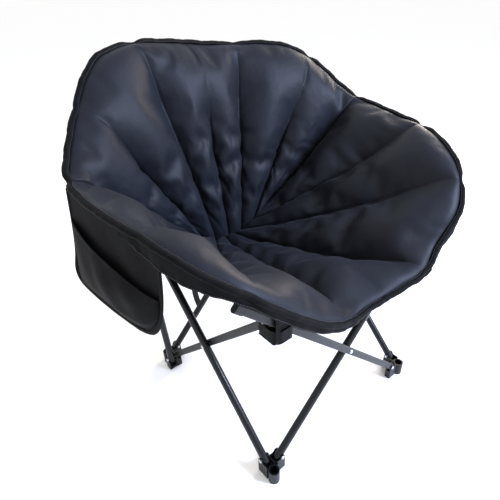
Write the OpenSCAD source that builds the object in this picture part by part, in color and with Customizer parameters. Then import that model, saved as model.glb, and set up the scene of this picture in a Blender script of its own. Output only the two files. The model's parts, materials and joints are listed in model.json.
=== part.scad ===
// Folding saucer chair: a padded bowl seat on a square base of four crossed bar pairs.
// The sitter faces -Y and the sitter's left is +X.

/* [Base] */
// Distance between the centres of neighbouring feet
foot_span = 470; // [440:5:520]
// Height of the lower pins above the floor
pin_h = 42; // [41:1:46]
// Distance from a corner to each of its pins
pin_in = 24; // [23.5:0.5:27]
// Slope of every crossed bar with the chair open, in degrees
bar_deg = 45; // [43:0.5:46]
// Turn of each bar when the chair is folded, in degrees
fold_deg = 36.5; // [30:0.5:37]
// Length of the front bars past their upper pins
arm_ext = 150; // [100:5:160]

/* [Tubes and bars] */
// Outer diameter of the round tubes
tube_d = 19; // [18:0.5:19.5]
// Wall of the round tubes
tube_wall = 1.2; // [0.8:0.1:2]
// Wide side of the flat oval bars
oval_w = 18; // [16:0.5:19]
// Narrow side of the flat oval bars
oval_t = 9; // [7:0.5:9]
// Wall of the flat oval bars
oval_wall = 1.2; // [0.8:0.1:2]
// Length of a bar past its end pin
bar_over = 10; // [8:0.5:10]
// Gap between the two bars of a crossing
cross_gap = 1; // [0.8:0.1:1.2]
// Thickness of the washer in that gap
washer_t = 0.8; // [0.5:0.1:0.8]
// Length of the plastic caps on the bar ends
cap_len = 22; // [15:1:30]
// Wall of the plastic caps
cap_wall = 1.5; // [1:0.1:2]

/* [Rivets] */
// Diameter of the rivets
rivet_d = 6; // [5:0.5:6.5]
// Diameter of the rivet heads
head_d = 10; // [8:0.5:11]
// Height of the rivet heads
head_t = 1.8; // [1.2:0.1:2]

/* [Plastic feet and joints] */
// Thickness of a socket's ears
ear_t = 3; // [2.5:0.1:3.2]
// Height of the feet
foot_h = 38; // [36:1:40]
// Outer diameter of the empty ring on each foot
ring_d = 27; // [25:0.5:28]
// Inner diameter of the empty ring on each foot
ring_bore = 19.6; // [18:0.1:20]
// Floor under the empty ring
ring_floor = 8; // [5:1:12]
// Height of the corner joints below their pins
joint_drop = 22; // [20:1:26]
// Height of the loop that slides on a back post
loop_h = 26; // [20:1:30]
// Wall of that loop
loop_wall = 3; // [2.5:0.1:4]

/* [Back posts] */
// Distance of a post outwards from its corner
post_out = 15; // [14.5:0.1:17]
// Distance of a post's foot forwards of its corner
post_fwd = 20; // [18:0.5:24]
// Height of a post's pin
post_pin_h = 34; // [32:0.5:36]
// Backward rise of the lower part, as run over height
post_slope = 0.12; // [0.1:0.005:0.13]
// Height of the bend
bend_h = 660; // [655:5:680]
// Backward rise above the bend
top_slope = 0.24; // [0.2:0.01:0.3]
// Radius of the bend
bend_r = 60; // [40:5:80]
// Height of the posts' tops above the middle of their bends
post_rise = 130; // [110:5:140]
// Turn of a post while the chair folds, in degrees
post_turn = 2.17; // [2.1:0.01:2.25]

/* [Saucer cover] */
// Half width of the saucer's rim
rim_half_w = 417; // [412:1:430]
// Reach of the rim in front of the base's centre
rim_front = 324; // [320:1:330]
// Reach of the rim behind the base's centre
rim_back = 349; // [345:1:360]
// Height of the rim at the front
rim_low = 452; // [448:1:460]
// Height of the rim at the top of the back
rim_high = 878; // [872:1:900]
// Radius of the rim's binding
rim_r = 7; // [6:0.5:8]
// Place of the point where all seams meet, behind the base's centre
hub_back = 214; // [208:1:220]
// Height of the point where all seams meet
hub_h = 363; // [360:1:372]
// Sag of the cover between that point and the rim
sag = 22; // [10:1:24]
// Rise of the padding above a seam
crown_up = 36; // [20:1:40]
// Swell of the padding below a seam
crown_down = 7; // [4:1:9]
// Half thickness of the padding at a seam
seam_half = 4; // [3:0.5:5]
// Height of the fabric band under the arms' edge
band_h = 34; // [20:1:36]
// Thickness of the band
band_t = 3; // [2:0.5:4]

/* [Side pocket] */
// Length of the pocket along the arm
pocket_len = 300; // [260:5:310]
// Height of the pocket
pocket_h = 205; // [170:5:210]
// Thickness of the pocket's panels
pocket_t = 2.5; // [2:0.5:3]
// Bulge of the pouch
pocket_bulge = 16; // [10:1:20]
// Radius of the pocket's piping
piping_r = 3; // [2:0.5:3.5]

/* [Straps] */
// Width of the webbing
web_w = 38; // [25:1:40]
// Thickness of the webbing
web_t = 2; // [1.2:0.1:2.5]
// Length of the loose strap end
tail_len = 165; // [60:5:170]

/* [Hidden] */
$fn = 48;

// Fits and cuts
pin_clear = 0.05;
face_clear = 0.3;
soft_clear = 0.6;
over = 1;

// Corners of the base and the crossing
half = foot_span / 2;
bar_half = (half - pin_in) / cos(bar_deg);
top_pin_h = pin_h + 2 * bar_half * sin(bar_deg);
front_shift = 1;
side_gap = cross_gap / 2;

// Distance of each bar's axis from its side's plane, outwards positive
round_out = side_gap + tube_d / 2;
oval_in = -side_gap - oval_t / 2;
front_round = front_shift + oval_in - oval_t / 2 + oval_t - tube_d / 2;
front_oval = front_shift + side_gap + oval_t / 2;

// The cover's outline is centred on the origin with the pocket
pocket_side = pocket_len * 0.0815;
shift_x = (pocket_side - rim_r) / 2;
shift_y = (rim_front - rim_back) / 2;
module place() translate([shift_x, shift_y, 0]) children();

// Colours
tube_black = [0.11, 0.125, 0.15];
oval_grey = [0.235, 0.24, 0.245];
plastic_black = [0.07, 0.07, 0.075];
rivet_metal = [0.75, 0.76, 0.78];
pad_navy = [0.2, 0.22, 0.27];
cloth_black = [0.14, 0.145, 0.155];
edge_black = [0.1, 0.105, 0.115];

// Bars. A bar starts at its lower pin, runs along +X and has its pins along Y.
module pin_hole(at, thick) {
  translate([at, thick / 2 + over, 0]) rotate([90, 0, 0])
    cylinder(h = thick + 2 * over, d = rivet_d + 2 * pin_clear);
}
module round_bar(ext) {
  len = 2 * bar_half + bar_over + (ext > 0 ? ext : bar_over);
  difference() {
    translate([-bar_over, 0, 0]) rotate([0, 90, 0]) cylinder(h = len, d = tube_d);
    translate([-bar_over - over, 0, 0]) rotate([0, 90, 0])
      cylinder(h = len + 2 * over, d = tube_d - 2 * tube_wall);
    for (k = [0, 1, 2]) pin_hole(k * bar_half, tube_d);
  }
}
module oval_section(w, t) {
  square([w - t, t], center = true);
  for (s = [-1, 1]) translate([s * (w - t) / 2, 0]) circle(d = t);
}
module oval_prism(len, w, t) {
  rotate([0, 90, 0]) linear_extrude(len) oval_section(w, t);
}
// The blank is rounded about its end pins and hollow between them.
module oval_bar(ext) {
  len = 2 * bar_half + ext;
  start = ext > 0 ? 0 : 0;
  difference() {
    union() {
      oval_prism(len, oval_w, oval_t);
      for (x = ext > 0 ? [0] : [0, 2 * bar_half]) intersection() {
        translate([x, oval_t / 2, 0]) rotate([90, 0, 0]) cylinder(h = oval_t, d = oval_w);
        translate([x - oval_w / 2, 0, 0]) oval_prism(oval_w, oval_w, oval_t);
      }
    }
    translate([start + oval_w / 2, 0, 0])
      oval_prism(ext > 0 ? len : len - oval_w, oval_w - 2 * oval_wall, oval_t - 2 * oval_wall);
    for (k = [0, 1, 2]) pin_hole(k * bar_half, oval_t);
  }
}

// A run puts its children on a bar's line. sx and sy are the signs of the lower pin's corner.
module run_x(sx, y) {
  translate([sx * (half - pin_in), y, pin_h]) mirror([sx > 0 ? 1 : 0, 0, 0])
    rotate([0, -bar_deg, 0]) children();
}
module run_y(x, sy) {
  translate([x, sy * (half - pin_in), pin_h]) rotate([0, 0, -sy * 90])
    rotate([0, -bar_deg, 0]) children();
}
module on_side_tube(s) run_y(s * (half + round_out), -1) children();
module on_side_bar(s) run_y(s * (half + oval_in), 1) children();
module on_front_tube() run_x(-1, -half - front_round) children();
module on_front_bar() run_x(1, -half - front_oval) children();
module on_rear_tube() run_x(-1, half + round_out) children();
module on_rear_bar() run_x(1, half + oval_in) children();

// Caps on the two front bar ends
module cap_round() {
  translate([2 * bar_half + arm_ext, 0, 0]) rotate([0, 90, 0]) difference() {
    translate([0, 0, -cap_len + cap_wall]) cylinder(h = cap_len, d = tube_d + 2 * cap_wall);
    translate([0, 0, -cap_len]) cylinder(h = cap_len, d = tube_d);
  }
}
module cap_oval() {
  translate([2 * bar_half + arm_ext - cap_len + cap_wall, 0, 0]) difference() {
    oval_prism(cap_len, oval_w + 2 * cap_wall, oval_t + 2 * cap_wall);
    translate([-cap_wall, 0, 0]) oval_prism(cap_len, oval_w, oval_t);
  }
}

// A rivet along Y, with a head at each face it holds. low and high are the faces.
module rivet(low, high, head_low = true, head_high = true) {
  gap = pin_clear * 2;
  translate([0, low - gap, 0]) rotate([-90, 0, 0]) cylinder(h = high - low + 2 * gap, d = rivet_d);
  if (head_low) translate([0, low - gap, 0]) rotate([90, 0, 0])
    cylinder(h = head_t, d1 = head_d, d2 = head_d * 0.7);
  if (head_high) translate([0, high + gap, 0]) rotate([-90, 0, 0])
    cylinder(h = head_t, d1 = head_d, d2 = head_d * 0.7);
}
// The rivet of a crossing sits at the bars' middle. near is the thickness of the bar it
// starts from, far the thickness of the other one, and way the side where that lies.
module cross_rivet(near, far, way) {
  a = -near / 2;
  b = near / 2 + cross_gap + far;
  translate([bar_half, 0, 0]) mirror([0, way < 0 ? 1 : 0, 0]) rivet(a, b);
}
module cross_washer(near, way) {
  translate([bar_half, way * (near / 2 + (cross_gap - washer_t) / 2), 0])
    rotate([way > 0 ? -90 : 90, 0, 0]) difference() {
      cylinder(h = washer_t, d = head_d * 1.5);
      translate([0, 0, -over]) cylinder(h = washer_t + 2 * over, d = rivet_d + 2 * pin_clear);
    }
}

// Sockets. In a corner's own frame +X and +Y point inwards along its two sides and the
// pins lie at height zero. A socket along X holds a bar at y = -off.
block_in = 9;
block_out = 6;
block_top = -6;
floor_top = -15;
ear_reach = pin_in + head_d * 0.7;
ear_r = head_d * 0.7;
// An upper socket is open above and below its bar, with a web on the bar's outer side only.
web_from = side_gap + oval_t + face_clear;
web_to = pin_in - tube_d / 2 - face_clear;
// from is where the ears start above the block, clear of a neighbouring rivet's head
module socket(off, thick, drop, upper = false, from = 0) {
  inner = thick / 2 + face_clear;
  outer = inner + ear_t;
  low = upper ? web_from : 0;
  high = max(low, from);
  difference() {
    union() {
      for (s = [-1, 1]) translate([0, -off + s * (inner + ear_t / 2) - ear_t / 2, 0]) {
        translate([low, 0, -drop]) cube([ear_reach - low, ear_t, drop + block_top]);
        translate([high, 0, block_top * 1.1]) cube([ear_reach - high, ear_t, -block_top * 1.1]);
        translate([pin_in, ear_t, 0]) rotate([90, 0, 0]) cylinder(h = ear_t, r = ear_r);
      }
      translate([low, -off - outer, -drop]) cube([(upper ? web_to : ear_reach) - low,
        2 * outer, drop + (upper ? block_top : floor_top)]);
    }
    translate([pin_in, -off + outer + over, 0]) rotate([90, 0, 0])
      cylinder(h = 2 * outer + 2 * over, d = rivet_d + 2 * pin_clear);
  }
}
// The same socket along Y, for a bar at x = -off
module socket_y(off, thick, drop, upper = false, from = 0) mirror([1, -1, 0])
  socket(off, thick, drop, upper, from);
module block(drop, inner = block_in) {
  translate([-block_out, -block_out, -drop])
    cube([block_out + inner, block_out + inner, drop + block_top]);
}
// Where a rivet's head ends on the inner side of a socket
function head_end(off, thick) = -off + thick / 2 + face_clear + ear_t + head_t + 2 * pin_clear
  + face_clear;
// A corner turns its frame to the base. sx and sy are the corner's signs.
module corner(sx, sy, z) {
  translate([sx * half, sy * half, z]) mirror([sx > 0 ? 1 : 0, 0, 0])
    mirror([0, sy > 0 ? 1 : 0, 0]) children();
}

// Feet
ring_at = ring_bore / 2 + 0.02 * ring_bore;
module foot_body(off_x, thick_x, off_y, thick_y) {
  difference() {
    union() {
      socket(off_x, thick_x, pin_h, false, thick_x > thick_y || off_x < off_y
        ? head_end(off_y, thick_y) : 0);
      socket_y(off_y, thick_y, pin_h);
      block(pin_h);
      translate([-ring_at, -ring_at, -pin_h]) cylinder(h = foot_h, d = ring_d);
    }
    translate([-ring_at, -ring_at, -pin_h + ring_floor]) cylinder(h = foot_h, d = ring_bore);
  }
}
// The rear feet also hold the back post's pin, beside the socket along Y.
post_ear = tube_d / 2 + face_clear;
post_drop = pin_h - post_pin_h;
module post_seat(off_y, thick_y) {
  outer = post_ear + ear_t;
  wall_in = off_y + thick_y / 2 + face_clear;
  difference() {
    union() {
      translate([-post_out - outer, post_fwd - ear_r - ear_t, -pin_h])
        cube([outer - wall_in + post_out - over, 2 * ear_r + 2 * ear_t, foot_h - post_drop]);
    }
    translate([-post_out - post_ear, post_fwd - ear_r - ear_t - over, -pin_h + ring_floor])
      cube([2 * post_ear, 2 * ear_r + 2 * ear_t + 2 * over, foot_h]);
    translate([-post_out - outer - over, post_fwd, -post_drop]) rotate([0, 90, 0])
      cylinder(h = outer + post_ear + over + ear_t, d = rivet_d + 2 * pin_clear);
  }
}
module foot_rivets(off_x, thick_x, off_y, thick_y, post = false) {
  rx = thick_x / 2 + face_clear + ear_t;
  ry = thick_y / 2 + face_clear + ear_t;
  translate([pin_in, 0, 0]) rivet(-off_x - rx, -off_x + rx);
  mirror([1, -1, 0]) translate([pin_in, 0, 0])
    rivet(post ? -off_y - ry + 2 * pin_clear : -off_y - ry, -off_y + ry, !post, true);
  if (post) translate([-post_out, post_fwd, -post_drop]) rotate([0, 0, 90])
    rivet(-post_ear - 2 * pin_clear, post_ear + ear_t, false, true);
}

// Upper joints at the front corners
module joint_body(off_x, thick_x, off_y, thick_y) {
  socket(off_x, thick_x, joint_drop, true, thick_x > thick_y ? head_end(off_y, thick_y) : 0);
  socket_y(off_y, thick_y, joint_drop, true, thick_x / 2 - off_x + face_clear);
  block(joint_drop, web_to);
}
// Sliders at the rear corners, each with a loop around its post
loop_tilt = atan(post_slope) - post_turn / 2;
loop_back = (top_pin_h - post_pin_h) * post_slope - post_fwd;
loop_play = 0.5;
loop_slot = 3.6;
module slot_prism(h, r, run) {
  for (s = [-1, 1]) translate([0, s * run, -h / 2]) cylinder(h = h, r = r);
  translate([-r, -run, -h / 2]) cube([2 * r, 2 * run, h]);
}
module slider_body(off_x, thick_x, off_y, thick_y) {
  r = tube_d / 2 + loop_play;
  difference() {
    union() {
      joint_body(off_x, thick_x, off_y, thick_y);
      translate([-post_out, -loop_back, 0]) rotate([loop_tilt, 0, 0])
        slot_prism(loop_h, r + loop_wall, loop_slot);
      translate([-post_out - r, -loop_back + r, -joint_drop])
        cube([post_out + r + block_in / 2, loop_back - r + block_in, joint_drop + block_top]);
    }
    translate([-post_out, -loop_back, 0]) rotate([loop_tilt, 0, 0])
      slot_prism(2 * loop_h, r, loop_slot);
  }
}

// Back posts, drawn in a rear corner's frame from their pin
low_lean = atan(post_slope);
bend_deg = atan(top_slope) - low_lean;
post_top_h = bend_h + post_rise;
bend_cut = bend_r * tan(bend_deg / 2);
low_len = (bend_h - post_pin_h) / cos(low_lean);
top_len = (post_top_h - bend_h) / cos(atan(top_slope));
// The straight parts meet the bend where it is tangent to them.
module post_line(d, start, extra) {
  rotate([low_lean, 0, 0]) {
    translate([0, 0, start]) cylinder(h = low_len - bend_cut - start, d = d);
    translate([0, -bend_r, low_len - bend_cut]) {
      rotate([90, 0, 90]) rotate_extrude(angle = bend_deg) translate([bend_r, 0]) circle(d = d);
      rotate([bend_deg, 0, 0]) translate([0, bend_r, 0])
        cylinder(h = top_len - bend_cut + extra, d = d);
    }
  }
}
module post_frame(s) corner(s, 1, post_pin_h) translate([-post_out, post_fwd, 0]) children();
module post_body() {
  difference() {
    post_line(tube_d, -bar_over * 0.8, 0);
    post_line(tube_d - 2 * tube_wall, -bar_over * 0.8 - over, over);
    rotate([0, 90, 0]) translate([0, 0, -tube_d])
      cylinder(h = 2 * tube_d, d = rivet_d + 2 * pin_clear);
  }
}
module at_post_top() {
  translate([0, -(bend_h - post_pin_h) * post_slope, bend_h - post_pin_h])
    rotate([atan(top_slope), 0, 0]) translate([0, 0, top_len]) children();
}
module post_cap() {
  at_post_top() difference() {
    translate([0, 0, cap_wall - cap_len]) cylinder(h = cap_len, d = tube_d + 2 * cap_wall);
    translate([0, 0, -cap_len]) cylinder(h = cap_len, d = tube_d);
  }
}

// The rim. Its points are shares of the rim's half width, its reach and its rise, from
// the middle of the front to the middle of the back along the sitter's left.
rim_shares = [[0, -1, 0], [0.149, -0.997, 0.012], [0.295, -0.991, 0.035],
  [0.444, -0.96, 0.106], [0.6, -0.901, 0.225], [0.736, -0.821, 0.343],
  [0.844, -0.679, 0.423], [0.907, -0.494, 0.476], [0.945, -0.306, 0.502],
  [0.983, -0.062, 0.521], [1, 0.172, 0.533], [0.995, 0.384, 0.559], [0.954, 0.516, 0.634],
  [0.882, 0.622, 0.718], [0.799, 0.722, 0.793], [0.683, 0.811, 0.876],
  [0.54, 0.888, 0.934], [0.338, 0.96, 0.972], [0.168, 0.989, 0.993], [0, 1, 1]];
last = len(rim_shares) - 1;
function rim_mirror(p) = [-p[0], p[1], p[2]];
function rim_share(i) = i < 0 ? rim_mirror(rim_shares[-i])
  : i > last ? rim_mirror(rim_shares[2 * last - i]) : rim_shares[i];
function blend(a, b, c, d, t) =
  0.5 * (2 * b + (c - a) * t + (2 * a - 5 * b + 4 * c - d) * t * t
    + (3 * b - a - 3 * c + d) * t * t * t);
function rim_size(p) = [p[0] * rim_half_w, p[1] * (p[1] < 0 ? rim_front : rim_back),
  rim_low + p[2] * (rim_high - rim_low)];
// u runs from 0 at the front to last at the back on the left, and to 2 * last at the front
function rim(u) = let(w = u > last ? u - 2 * last : u, a = abs(w),
    i = min(floor(a), last - 1), p = blend(rim_share(i - 1), rim_share(i),
      rim_share(i + 1), rim_share(i + 2), a - i))
  rim_size(w < 0 ? rim_mirror(p) : p);
hub = [0, hub_back, hub_h];
function unit(v) = v / norm(v);
function rim_way(u) = unit(rim(u + 0.1) - rim(u - 0.1));
// The way up out of the bowl at u
function up_at(u) = unit(cross(rim(u) - hub, rim_way(u)));

// A tube swept along points, closed into a ring or with flat ends
function ring_pts(p, way, side, r, n) =
  let(a = unit(side - (side * way) * way), b = cross(way, a))
  [for (k = [0:n - 1]) p + r * (cos(360 * k / n) * a + sin(360 * k / n) * b)];
module sweep_tube(pts, ways, sides, r, n, closed) {
  m = len(pts);
  points = [for (i = [0:m - 1]) each ring_pts(pts[i], ways[i], sides[i], r, n)];
  rings = closed ? m : m - 1;
  walls = [for (i = [0:rings - 1]) for (k = [0:n - 1]) let(j = (i + 1) % m, l = (k + 1) % n)
    each [[i * n + k, j * n + l, i * n + l], [i * n + k, j * n + k, j * n + l]]];
  ends = closed ? [] : [for (k = [1:n - 2]) each
    [[0, k, k + 1], [(m - 1) * n, (m - 1) * n + k + 1, (m - 1) * n + k]]];
  polyhedron(points, concat(walls, ends), convexity = 6);
}
binding_rings = 76;
module binding() {
  us = [for (i = [0:binding_rings - 1]) -last + 2 * last * i / binding_rings];
  sweep_tube([for (u = us) rim(u)], [for (u = us) rim_way(u)], [for (u = us) up_at(u)],
    rim_r, 8, true);
}

// Pads. Rings run out from the hub; a tuft spans two neighbouring seams of the list.
ring_shares = [0.08, 0.18, 0.3, 0.43, 0.56, 0.68, 0.79, 0.88, 0.95, 1];
crown_shares = [0.16, 0.4, 0.64, 0.83, 0.95, 1, 0.96, 0.85, 0.62, 0.25];
fade_shares = [0, 0, 0, 0, 0.05, 0.12, 0.22, 0.35, 0.5, 0.6];
seat_seams = [-11, -8, -5, -2, 2, 5, 8, 11];
back_seams = [11, 14, 17, 19, 21, 24, 27];
edge_gap = 0.5;
function pad_half(r, w, crown) = seam_half
  + crown * crown_shares[r] * (fade_shares[r] + (1 - fade_shares[r]) * pow(sin(180 * w), 0.8));
function pad_mid(r, u) = let(s = ring_shares[r], reach = rim(u) - hub,
    far = norm(reach) - rim_r - 3 * edge_gap)
  hub + unit(reach) * far * s - up_at(u) * sag * 4 * s * (1 - s);
module pad(seams, steps) {
  tufts = len(seams) - 1;
  cols = tufts * steps;
  rings = len(ring_shares);
  us = [for (c = [0:cols]) let(t = min(floor(c / steps), tufts - 1), w = c / steps - t)
    [seams[t] + (seams[t + 1] - seams[t]) * w, w]];
  tops = [for (c = [0:cols]) for (r = [0:rings - 1])
    pad_mid(r, us[c][0]) + up_at(us[c][0]) * pad_half(r, us[c][1], crown_up)];
  lows = [for (c = [0:cols]) for (r = [0:rings - 1])
    pad_mid(r, us[c][0]) - up_at(us[c][0]) * pad_half(r, us[c][1], crown_down)];
  n = (cols + 1) * rings;
  hub_up = unit(up_at(seams[0]) + up_at(seams[tufts]));
  points = concat(tops, lows, [hub + hub_up * seam_half, hub - hub_up * seam_half]);
  sheet = [for (c = [0:cols - 1]) for (r = [0:rings - 2])
    let(a = c * rings + r, b = a + 1, d = a + rings, e = d + 1) each [[a, e, b], [a, d, e]]];
  under = [for (f = sheet) [f[0] + n, f[2] + n, f[1] + n]];
  edge = [for (c = [0:cols - 1]) let(a = c * rings + rings - 1, d = a + rings)
    each [[a, d + n, a + n], [a, d, d + n]]];
  core = [for (c = [0:cols - 1]) let(a = c * rings, d = a + rings)
    each [[2 * n, d, a], [2 * n + 1, a + n, d + n]]];
  e0 = cols * rings;
  ends = concat([for (r = [0:rings - 2]) each [[r, r + 1, r + 1 + n], [r, r + 1 + n, r + n]]],
    [for (r = [0:rings - 2]) each
      [[e0 + r, e0 + r + 1 + n, e0 + r + 1], [e0 + r, e0 + r + n, e0 + r + 1 + n]]],
    [[2 * n, 0, n], [2 * n, n, 2 * n + 1], [2 * n, e0 + n, e0], [2 * n, 2 * n + 1, e0 + n]]);
  polyhedron(points, concat(sheet, under, edge, core, ends), convexity = 10);
}

// The fabric band hangs from the binding under an arm's edge
band_cols = 36;
band_out = 1.6;
module band() {
  us = [for (i = [0:band_cols]) 1.2 + (8.6 - 1.2) * i / band_cols];
  drops = [for (i = [0:band_cols]) band_h * sin(180 * min(0.92, 0.06 + i / band_cols))];
  outs = [for (u = us) let(w = rim_way(u)) unit([w[1], -w[0], 0])];
  points = [for (i = [0:band_cols]) let(w = rim_way(us[i]), o = outs[i] * band_t / 2,
      p = rim(us[i]) + outs[i] * (band_t / 2 + band_out)
        - [0, 0, (rim_r + edge_gap) / sqrt(1 - w[2] * w[2])])
    each [p + o, p - o, p - o - [0, 0, drops[i]], p + o - [0, 0, drops[i]]]];
  walls = [for (i = [0:band_cols - 1]) for (k = [0:3]) let(l = (k + 1) % 4)
    each [[i * 4 + k, i * 4 + l, i * 4 + 4 + l], [i * 4 + k, i * 4 + 4 + l, i * 4 + 4 + k]]];
  m = band_cols * 4;
  polyhedron(points, concat(walls, [[0, 3, 2], [0, 2, 1], [m, m + 1, m + 2], [m, m + 2, m + 3]]),
    convexity = 6);
}

// The pocket. Its outline is in shares of its length and height, from the rear top corner.
outline_shares = [[0, 0], [0.02, -0.3], [0, -0.6], [-0.06, -0.82], [-0.04, -0.93],
  [0.04, -0.985], [0.35, -1], [0.7, -0.96], [0.8, -0.93], [0.9, -0.87], [0.965, -0.74],
  [1, -0.5], [1, -0.25], [0.985, -0.07]];
mouth_shares = [0.24, 0.31, 0.36, 0.4, 0.43, 0.455, 0.47, 0.475];
pocket_rear = 156;
pocket_top = 656.3;
pocket_x = rim_half_w - piping_r / 3;
pocket_yaw = 6.6;
pocket_pitch = 6.8;
function outline_pt(i) = [-outline_shares[i][0] * pocket_len, outline_shares[i][1] * pocket_h];
module pocket_frame() {
  translate([-pocket_x, pocket_rear, pocket_top]) rotate([0, 0, pocket_yaw])
    rotate([0, pocket_pitch, 0]) rotate([90, 0, 90]) children();
}
module panel() {
  linear_extrude(pocket_t) polygon([for (i = [0:len(outline_shares) - 1]) outline_pt(i)]);
}
// The pouch swells out from the panel and is open along its top
pouch_cols = 14;
pouch_rows = 8;
function floor_share(x) = -0.972 - 0.012 * sin(180 * x) + 0.115 * pow(x, 3) + 0.24 * pow(x, 14);
function mouth_share(x) = let(k = x * (len(mouth_shares) - 1), i = min(floor(k), len(mouth_shares) - 2))
  -(mouth_shares[i] + (mouth_shares[i + 1] - mouth_shares[i]) * (k - i));
function pouch_pt(i, j) = let(x = i / pouch_cols, y = j / pouch_rows,
    low = floor_share(x), top = mouth_share(x))
  [-(0.02 + 0.96 * x) * pocket_len, (low + 0.02 + (top - low) * y) * pocket_h,
    -face_clear - pocket_bulge * pow(sin(180 * x), 0.6) * sin(20 + 120 * y) * (j == 0 ? 0 : 1)];
module pouch() {
  n = (pouch_cols + 1) * (pouch_rows + 1);
  at = [for (i = [0:pouch_cols]) for (j = [0:pouch_rows]) pouch_pt(i, j)];
  points = concat(at, [for (p = at) p - [0, 0, pocket_t]]);
  k = pouch_rows + 1;
  sheet = [for (i = [0:pouch_cols - 1]) for (j = [0:pouch_rows - 1])
    let(a = i * k + j) each [[a, a + k, a + k + 1], [a, a + k + 1, a + 1]]];
  back = [for (f = sheet) [f[0] + n, f[2] + n, f[1] + n]];
  m = pouch_cols * k;
  sides = concat([for (i = [0:pouch_cols - 1]) let(a = i * k, b = a + pouch_rows) each
      [[a, a + n, a + k + n], [a, a + k + n, a + k], [b, b + k + n, b + n], [b, b + k, b + k + n]]],
    [for (j = [0:pouch_rows - 1]) each [[j, j + 1, j + 1 + n], [j, j + 1 + n, j + n],
      [m + j, m + j + 1 + n, m + j + 1], [m + j, m + j + n, m + j + 1 + n]]]);
  polyhedron(points, concat(sheet, back, sides), convexity = 6);
}
module piping() {
  m = len(outline_shares);
  pts = [for (i = [0:m - 1]) let(p = outline_pt(i)) [p[0], p[1], pocket_t / 2]];
  ways = [for (i = [0:m - 1]) unit(pts[min(i + 1, m - 1)] - pts[max(i - 1, 0)])];
  outs = [for (w = ways) [w[1], -w[0], 0]];
  sweep_tube([for (i = [0:m - 1]) pts[i] - outs[i] * (piping_r + face_clear)], ways,
    [for (w = ways) [0, 0, 1]], piping_r, 8, false);
}

// A cloth sleeve around a post's top, closed above its cap
sleeve_len = 105;
sleeve_t = 2.5;
sleeve_wing = 11;
module sleeve() {
  r = tube_d / 2 + cap_wall + soft_clear;
  at_post_top() difference() {
    union() {
      translate([0, 0, -sleeve_len + cap_wall]) cylinder(h = sleeve_len + soft_clear + sleeve_t,
        r = r + sleeve_t);
      translate([-sleeve_t / 2, 0, -sleeve_len * 0.9])
        cube([sleeve_t, r + sleeve_wing, sleeve_len * 0.85]);
    }
    translate([0, 0, -sleeve_len + cap_wall - over]) cylinder(h = sleeve_len + soft_clear + over,
      r = r);
  }
}

// Webbing that comes down from the pad in front of an upper joint and turns under it
web_up = 44;
web_under = 30;
web_gap = face_clear * 2;
module webbing() {
  front = front_oval + oval_t / 2 + face_clear + ear_t + head_t + web_gap + web_t;
  corner(-1, -1, top_pin_h) translate([-web_w / 4, -front, -joint_drop - web_gap - web_t]) {
    cube([web_w, web_t, joint_drop + web_gap + web_t + web_up]);
    cube([web_w, front + web_under, web_t]);
  }
}
// A loose end hangs from a seam under the seat on the sitter's right.
tail_seam = -8;
tail_ring = 4;
module tail() {
  top = pad_mid(tail_ring, tail_seam) - up_at(tail_seam) * seam_half;
  translate([top[0] - web_w / 4, top[1] - web_t / 2, top[2] - tail_len])
    cube([web_w / 2, web_t, tail_len + web_t / 2]);
}

module foot_front_right() color(plastic_black) place() corner(-1, -1, pin_h)
  foot_body(front_round, tube_d, round_out, tube_d);
module foot_front_left() color(plastic_black) place() corner(1, -1, pin_h)
  foot_body(front_oval, oval_t, round_out, tube_d);
module foot_rear_right() color(plastic_black) place() corner(-1, 1, pin_h) {
  foot_body(round_out, tube_d, oval_in, oval_t);
  post_seat(oval_in, oval_t);
}
module foot_rear_left() color(plastic_black) place() corner(1, 1, pin_h) {
  foot_body(oval_in, oval_t, oval_in, oval_t);
  post_seat(oval_in, oval_t);
}
module rivets_foot_front_right() color(rivet_metal) place() corner(-1, -1, pin_h)
  foot_rivets(front_round, tube_d, round_out, tube_d);
module rivets_foot_front_left() color(rivet_metal) place() corner(1, -1, pin_h)
  foot_rivets(front_oval, oval_t, round_out, tube_d);
module rivets_foot_rear_right() color(rivet_metal) place() corner(-1, 1, pin_h)
  foot_rivets(round_out, tube_d, oval_in, oval_t, true);
module rivets_foot_rear_left() color(rivet_metal) place() corner(1, 1, pin_h)
  foot_rivets(oval_in, oval_t, oval_in, oval_t, true);
module tube_side_right() color(tube_black) place() on_side_tube(-1) round_bar(0);
module tube_side_left() color(tube_black) place() on_side_tube(1) round_bar(0);
module tube_front() color(tube_black) place() on_front_tube() round_bar(arm_ext);
module tube_rear() color(tube_black) place() on_rear_tube() round_bar(0);
module bar_side_right() color(oval_grey) place() on_side_bar(-1) oval_bar(0);
module bar_side_left() color(oval_grey) place() on_side_bar(1) oval_bar(0);
module bar_front() color(oval_grey) place() on_front_bar() oval_bar(arm_ext);
module bar_rear() color(oval_grey) place() on_rear_bar() oval_bar(0);
module cap_tube_front() color(plastic_black) place() on_front_tube() cap_round();
module cap_bar_front() color(plastic_black) place() on_front_bar() cap_oval();
module rivet_cross_right() color(rivet_metal) place() on_side_tube(-1)
  cross_rivet(tube_d, oval_t, -1);
module rivet_cross_left() color(rivet_metal) place() on_side_tube(1)
  cross_rivet(tube_d, oval_t, 1);
module rivet_cross_front() color(rivet_metal) place() on_front_tube()
  cross_rivet(tube_d, oval_t, -1);
module rivet_cross_rear() color(rivet_metal) place() on_rear_tube()
  cross_rivet(tube_d, oval_t, -1);
module washer_right() color(plastic_black) place() on_side_tube(-1) cross_washer(tube_d, -1);
module washer_left() color(plastic_black) place() on_side_tube(1) cross_washer(tube_d, 1);
module washer_front() color(plastic_black) place() on_front_tube() cross_washer(tube_d, -1);
module washer_rear() color(plastic_black) place() on_rear_tube() cross_washer(tube_d, -1);
module joint_front_right() color(plastic_black) place() corner(-1, -1, top_pin_h)
  joint_body(front_oval, oval_t, oval_in, oval_t);
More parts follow.
